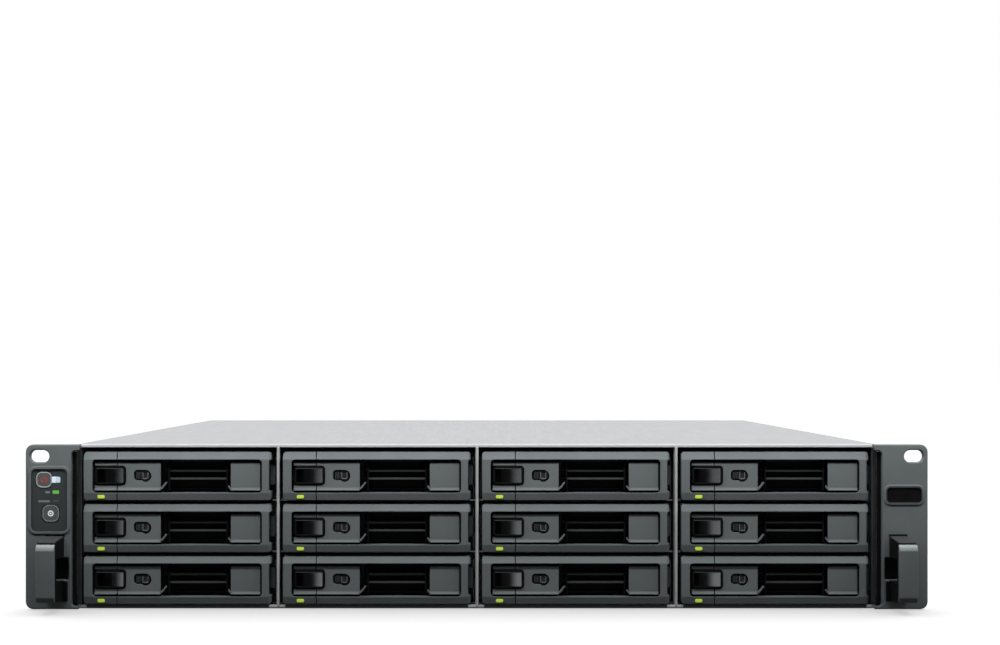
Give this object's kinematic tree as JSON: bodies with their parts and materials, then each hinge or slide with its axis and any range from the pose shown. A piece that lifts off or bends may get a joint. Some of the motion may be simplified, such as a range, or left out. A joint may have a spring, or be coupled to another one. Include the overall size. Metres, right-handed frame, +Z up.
{
  "type": "network attached storage",
  "caption": "Rack-mount storage server, two rack units high, with front hot-swap drive trays, rack ears with pull handles, and redundant plug-in power supplies.",
  "frame": {"origin": "middle of the footprint, on the underside of the chassis", "axes": "+Z up, drive trays facing -Y, back wall towards +Y, +X to the right seen from the front"},
  "size_m": [0.4826, 0.724, 0.0881],
  "materials": {
    "steel": "galvanised sheet",
    "cover_steel": "light grey galvanised sheet, satin",
    "ear_plastic": "fine textured dark grey moulding",
    "handle_plastic": "fine textured dark grey moulding",
    "panel_plastic": "near-black moulding",
    "gloss_black": "glossy black",
    "bezel_plastic": "fine textured grey moulding",
    "tray_plastic": "grey moulding, with a steel sled and an aluminium drive",
    "black_plastic": "black moulding",
    "board": "green solder mask",
    "aluminium": "extruded fins",
    "screw_steel": "zinc plated",
    "latch_plastic": "dark red moulding"
  },
  "bodies": {
    "chassis": {"chassis_base": "steel", "top_cover": "cover_steel", "drive_cage": "steel", "left_ear": "ear_plastic", "right_ear": "ear_plastic", "left_handle": "handle_plastic", "right_handle": "handle_plastic", "control_panel": "panel_plastic", "badge_plate": "gloss_black", "backplane": "board", "fan_bracket": "black_plastic", "mainboard": "board", "heatsink": "aluminium", "rear_panel": "steel", "screws": "screw_steel"},
    "tray_01": {"drive_tray_01": "tray_plastic"},
    "lever_01": {"tray_lever_01": "bezel_plastic"},
    "release_01": {"release_button_01": "gloss_black"},
    "tray_02": {"drive_tray_02": "tray_plastic"},
    "lever_02": {"tray_lever_02": "bezel_plastic"},
    "release_02": {"release_button_02": "gloss_black"},
    "tray_03": {"drive_tray_03": "tray_plastic"},
    "lever_03": {"tray_lever_03": "bezel_plastic"},
    "release_03": {"release_button_03": "gloss_black"},
    "tray_04": {"drive_tray_04": "tray_plastic"},
    "lever_04": {"tray_lever_04": "bezel_plastic"},
    "release_04": {"release_button_04": "gloss_black"},
    "tray_05": {"drive_tray_05": "tray_plastic"},
    "lever_05": {"tray_lever_05": "bezel_plastic"},
    "release_05": {"release_button_05": "gloss_black"},
    "tray_06": {"drive_tray_06": "tray_plastic"},
    "lever_06": {"tray_lever_06": "bezel_plastic"},
    "release_06": {"release_button_06": "gloss_black"},
    "tray_07": {"drive_tray_07": "tray_plastic"},
    "lever_07": {"tray_lever_07": "bezel_plastic"},
    "release_07": {"release_button_07": "gloss_black"},
    "tray_08": {"drive_tray_08": "tray_plastic"},
    "lever_08": {"tray_lever_08": "bezel_plastic"},
    "release_08": {"release_button_08": "gloss_black"},
    "tray_09": {"drive_tray_09": "tray_plastic"},
    "lever_09": {"tray_lever_09": "bezel_plastic"},
    "release_09": {"release_button_09": "gloss_black"},
    "tray_10": {"drive_tray_10": "tray_plastic"},
    "lever_10": {"tray_lever_10": "bezel_plastic"},
    "release_10": {"release_button_10": "gloss_black"},
    "tray_11": {"drive_tray_11": "tray_plastic"},
    "lever_11": {"tray_lever_11": "bezel_plastic"},
    "release_11": {"release_button_11": "gloss_black"},
    "tray_12": {"drive_tray_12": "tray_plastic"},
    "lever_12": {"tray_lever_12": "bezel_plastic"},
    "release_12": {"release_button_12": "gloss_black"},
    "power_button": {"power_button": "panel_plastic"},
    "identify_button": {"identify_button": "panel_plastic"},
    "fan_rotor_01": {"fan_rotor_01": "black_plastic"},
    "fan_rotor_02": {"fan_rotor_02": "black_plastic"},
    "fan_rotor_03": {"fan_rotor_03": "black_plastic"},
    "power_supply_01": {"power_supply_01": "steel"},
    "psu_latch_01": {"psu_latch_01": "latch_plastic"},
    "power_supply_02": {"power_supply_02": "steel"},
    "psu_latch_02": {"psu_latch_02": "latch_plastic"}
  },
  "joints": [
    {"name": "tray_slide_01", "type": "slide", "parent": "chassis", "child": "tray_01", "axis": [0, -1, 0], "range_m": [0, 0.18]},
    {"name": "lever_swing_01", "type": "hinge", "parent": "tray_01", "child": "lever_01", "pos_m": [-0.1152, -0.3215, 0.0713], "axis": [0, 0, 1], "range_deg": [0, 70]},
    {"name": "release_press_01", "type": "slide", "parent": "tray_01", "child": "release_01", "axis": [0, 1, 0], "range_m": [0, 0.002], "stiffness_N_per_m": 400},
    {"name": "power_press", "type": "slide", "parent": "chassis", "child": "power_button", "axis": [0, 1, 0], "range_m": [0, 0.001], "stiffness_N_per_m": 400},
    {"name": "identify_press", "type": "slide", "parent": "chassis", "child": "identify_button", "axis": [0, 1, 0], "range_m": [0, 0.001], "stiffness_N_per_m": 400},
    {"name": "fan_spin_01", "type": "hinge", "parent": "chassis", "child": "fan_rotor_01", "pos_m": [-0.138, -0.1056, 0.0434], "axis": [0, 1, 0], "continuous": true},
    {"name": "psu_slide_01", "type": "slide", "parent": "chassis", "child": "power_supply_01", "axis": [0, 1, 0], "range_m": [0, 0.19]},
    {"name": "psu_latch_turn_01", "type": "hinge", "parent": "power_supply_01", "child": "psu_latch_01", "pos_m": [0.21, 0.308, 0.0211], "axis": [0, 0, 1], "range_deg": [0, 6], "stiffness_Nm_per_rad": 0.5},
    {"name": "tray_slide_02", "type": "slide", "parent": "chassis", "child": "tray_02", "axis": [0, -1, 0], "range_m": [0, 0.18]},
    {"name": "lever_swing_02", "type": "hinge", "parent": "tray_02", "child": "lever_02", "pos_m": [-0.0084, -0.3215, 0.0713], "axis": [0, 0, 1], "range_deg": [0, 70]},
    {"name": "tray_slide_03", "type": "slide", "parent": "chassis", "child": "tray_03", "axis": [0, -1, 0], "range_m": [0, 0.18]},
    {"name": "lever_swing_03", "type": "hinge", "parent": "tray_03", "child": "lever_03", "pos_m": [0.0984, -0.3215, 0.0713], "axis": [0, 0, 1], "range_deg": [0, 70]},
    {"name": "tray_slide_04", "type": "slide", "parent": "chassis", "child": "tray_04", "axis": [0, -1, 0], "range_m": [0, 0.18]},
    {"name": "lever_swing_04", "type": "hinge", "parent": "tray_04", "child": "lever_04", "pos_m": [0.2052, -0.3215, 0.0713], "axis": [0, 0, 1], "range_deg": [0, 70]},
    {"name": "tray_slide_05", "type": "slide", "parent": "chassis", "child": "tray_05", "axis": [0, -1, 0], "range_m": [0, 0.18]},
    {"name": "lever_swing_05", "type": "hinge", "parent": "tray_05", "child": "lever_05", "pos_m": [-0.1152, -0.3215, 0.04345], "axis": [0, 0, 1], "range_deg": [0, 70]},
    {"name": "tray_slide_06", "type": "slide", "parent": "chassis", "child": "tray_06", "axis": [0, -1, 0], "range_m": [0, 0.18]},
    {"name": "lever_swing_06", "type": "hinge", "parent": "tray_06", "child": "lever_06", "pos_m": [-0.0084, -0.3215, 0.04345], "axis": [0, 0, 1], "range_deg": [0, 70]},
    {"name": "tray_slide_07", "type": "slide", "parent": "chassis", "child": "tray_07", "axis": [0, -1, 0], "range_m": [0, 0.18]},
    {"name": "lever_swing_07", "type": "hinge", "parent": "tray_07", "child": "lever_07", "pos_m": [0.0984, -0.3215, 0.04345], "axis": [0, 0, 1], "range_deg": [0, 70]},
    {"name": "tray_slide_08", "type": "slide", "parent": "chassis", "child": "tray_08", "axis": [0, -1, 0], "range_m": [0, 0.18]},
    {"name": "lever_swing_08", "type": "hinge", "parent": "tray_08", "child": "lever_08", "pos_m": [0.2052, -0.3215, 0.04345], "axis": [0, 0, 1], "range_deg": [0, 70]},
    {"name": "tray_slide_09", "type": "slide", "parent": "chassis", "child": "tray_09", "axis": [0, -1, 0], "range_m": [0, 0.18]},
    {"name": "lever_swing_09", "type": "hinge", "parent": "tray_09", "child": "lever_09", "pos_m": [-0.1152, -0.3215, 0.0156], "axis": [0, 0, 1], "range_deg": [0, 70]},
    {"name": "tray_slide_10", "type": "slide", "parent": "chassis", "child": "tray_10", "axis": [0, -1, 0], "range_m": [0, 0.18]},
    {"name": "lever_swing_10", "type": "hinge", "parent": "tray_10", "child": "lever_10", "pos_m": [-0.0084, -0.3215, 0.0156], "axis": [0, 0, 1], "range_deg": [0, 70]},
    {"name": "tray_slide_11", "type": "slide", "parent": "chassis", "child": "tray_11", "axis": [0, -1, 0], "range_m": [0, 0.18]},
    {"name": "lever_swing_11", "type": "hinge", "parent": "tray_11", "child": "lever_11", "pos_m": [0.0984, -0.3215, 0.0156], "axis": [0, 0, 1], "range_deg": [0, 70]},
    {"name": "tray_slide_12", "type": "slide", "parent": "chassis", "child": "tray_12", "axis": [0, -1, 0], "range_m": [0, 0.18]},
    {"name": "lever_swing_12", "type": "hinge", "parent": "tray_12", "child": "lever_12", "pos_m": [0.2052, -0.3215, 0.0156], "axis": [0, 0, 1], "range_deg": [0, 70]},
    {"name": "release_press_02", "type": "slide", "parent": "tray_02", "child": "release_02", "axis": [0, 1, 0], "range_m": [0, 0.002], "stiffness_N_per_m": 400},
    {"name": "release_press_03", "type": "slide", "parent": "tray_03", "child": "release_03", "axis": [0, 1, 0], "range_m": [0, 0.002], "stiffness_N_per_m": 400},
    {"name": "release_press_04", "type": "slide", "parent": "tray_04", "child": "release_04", "axis": [0, 1, 0], "range_m": [0, 0.002], "stiffness_N_per_m": 400},
    {"name": "release_press_05", "type": "slide", "parent": "tray_05", "child": "release_05", "axis": [0, 1, 0], "range_m": [0, 0.002], "stiffness_N_per_m": 400},
    {"name": "release_press_06", "type": "slide", "parent": "tray_06", "child": "release_06", "axis": [0, 1, 0], "range_m": [0, 0.002], "stiffness_N_per_m": 400},
    {"name": "release_press_07", "type": "slide", "parent": "tray_07", "child": "release_07", "axis": [0, 1, 0], "range_m": [0, 0.002], "stiffness_N_per_m": 400},
    {"name": "release_press_08", "type": "slide", "parent": "tray_08", "child": "release_08", "axis": [0, 1, 0], "range_m": [0, 0.002], "stiffness_N_per_m": 400},
    {"name": "release_press_09", "type": "slide", "parent": "tray_09", "child": "release_09", "axis": [0, 1, 0], "range_m": [0, 0.002], "stiffness_N_per_m": 400},
    {"name": "release_press_10", "type": "slide", "parent": "tray_10", "child": "release_10", "axis": [0, 1, 0], "range_m": [0, 0.002], "stiffness_N_per_m": 400},
    {"name": "release_press_11", "type": "slide", "parent": "tray_11", "child": "release_11", "axis": [0, 1, 0], "range_m": [0, 0.002], "stiffness_N_per_m": 400},
    {"name": "release_press_12", "type": "slide", "parent": "tray_12", "child": "release_12", "axis": [0, 1, 0], "range_m": [0, 0.002], "stiffness_N_per_m": 400},
    {"name": "fan_spin_02", "type": "hinge", "parent": "chassis", "child": "fan_rotor_02", "pos_m": [0, -0.1056, 0.0434], "axis": [0, 1, 0], "continuous": true},
    {"name": "fan_spin_03", "type": "hinge", "parent": "chassis", "child": "fan_rotor_03", "pos_m": [0.138, -0.1056, 0.0434], "axis": [0, 1, 0], "continuous": true},
    {"name": "psu_slide_02", "type": "slide", "parent": "chassis", "child": "power_supply_02", "axis": [0, 1, 0], "range_m": [0, 0.19]},
    {"name": "psu_latch_turn_02", "type": "hinge", "parent": "power_supply_02", "child": "psu_latch_02", "pos_m": [0.21, 0.308, 0.0615], "axis": [0, 0, 1], "range_deg": [0, 6], "stiffness_Nm_per_rad": 0.5}
  ]
}
